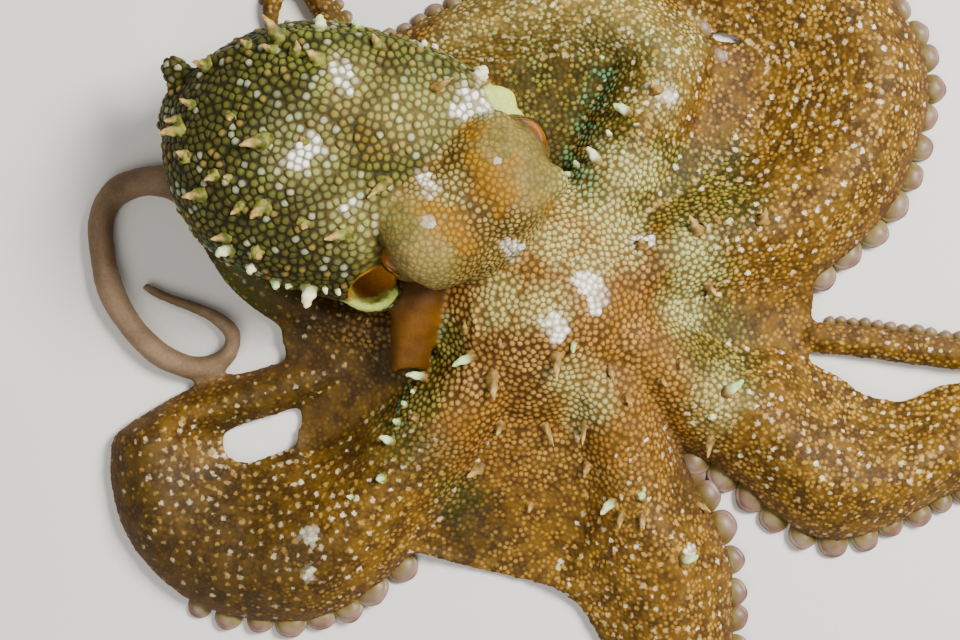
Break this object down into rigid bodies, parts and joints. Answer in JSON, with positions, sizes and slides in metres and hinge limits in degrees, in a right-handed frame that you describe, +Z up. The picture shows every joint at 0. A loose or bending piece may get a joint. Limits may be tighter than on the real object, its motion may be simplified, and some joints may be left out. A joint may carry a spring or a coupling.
{
  "type": "octopus",
  "caption": "Life-size still model of a common octopus crawling with its arms spread and curled, resting on a flat floor.",
  "frame": {"origin": "on the floor under the mouth, on the flat underside of the crown", "axes": "+Z up from the floor; +X runs towards the animal's spread left arms, +Y towards its mantle's left side; the head looks towards +X -Y"},
  "size_m": [0.3888, 0.3679, 0.082],
  "materials": {
    "crown_skin": "wet ochre-brown skin with raised tan granules and white spots",
    "head_skin": "wet tan-grey skin over the brows, finer granules, orange patches",
    "mantle_skin": "wet yellow-green granules in a dark olive net, white patches",
    "arm_skin": "wet brown skin with rows of tan and white dots",
    "funnel_skin": "smooth wet amber skin",
    "sucker_skin": "smooth mauve-grey sucker rims with paler middles",
    "papilla_skin": "raised cream-white skin knobs",
    "eye": "copper-orange iris under a clear wet cornea, dark slit pupil"
  },
  "bodies": {
    "root": {"crown": "crown_skin", "head": "head_skin", "mantle": "mantle_skin", "funnel": "funnel_skin", "eye_L": "eye", "eye_R": "eye", "arm_L1_base": "arm_skin", "arm_L1_middle": "arm_skin", "arm_L1_outer": "arm_skin", "arm_L1_tip": "arm_skin", "arm_L2_base": "arm_skin", "arm_L2_middle": "arm_skin", "arm_L2_outer": "arm_skin", "arm_L2_tip": "arm_skin", "arm_L3_base": "arm_skin", "arm_L3_middle": "arm_skin", "arm_L3_outer": "arm_skin", "arm_L3_tip": "arm_skin", "arm_L4_base": "arm_skin", "arm_L4_middle": "arm_skin", "arm_L4_outer": "arm_skin", "arm_L4_tip": "arm_skin", "arm_R1_base": "arm_skin", "arm_R1_middle": "arm_skin", "arm_R1_outer": "arm_skin", "arm_R1_tip": "arm_skin", "arm_R2_base": "arm_skin", "arm_R2_middle": "arm_skin", "arm_R2_outer": "arm_skin", "arm_R2_tip": "arm_skin", "arm_R3_base": "arm_skin", "arm_R3_middle": "arm_skin", "arm_R3_outer": "arm_skin", "arm_R3_tip": "arm_skin", "arm_R4_base": "arm_skin", "arm_R4_middle": "arm_skin", "arm_R4_outer": "arm_skin", "arm_R4_tip": "arm_skin", "web_R1_L1": "arm_skin", "web_L1_L2": "arm_skin", "web_L2_L3": "arm_skin", "web_R2_R1": "arm_skin", "web_R2_R3": "arm_skin", "web_R3_R4": "arm_skin", "web_R4_L4": "arm_skin", "web_L4_L3": "arm_skin"}
  },
  "joints": []
}
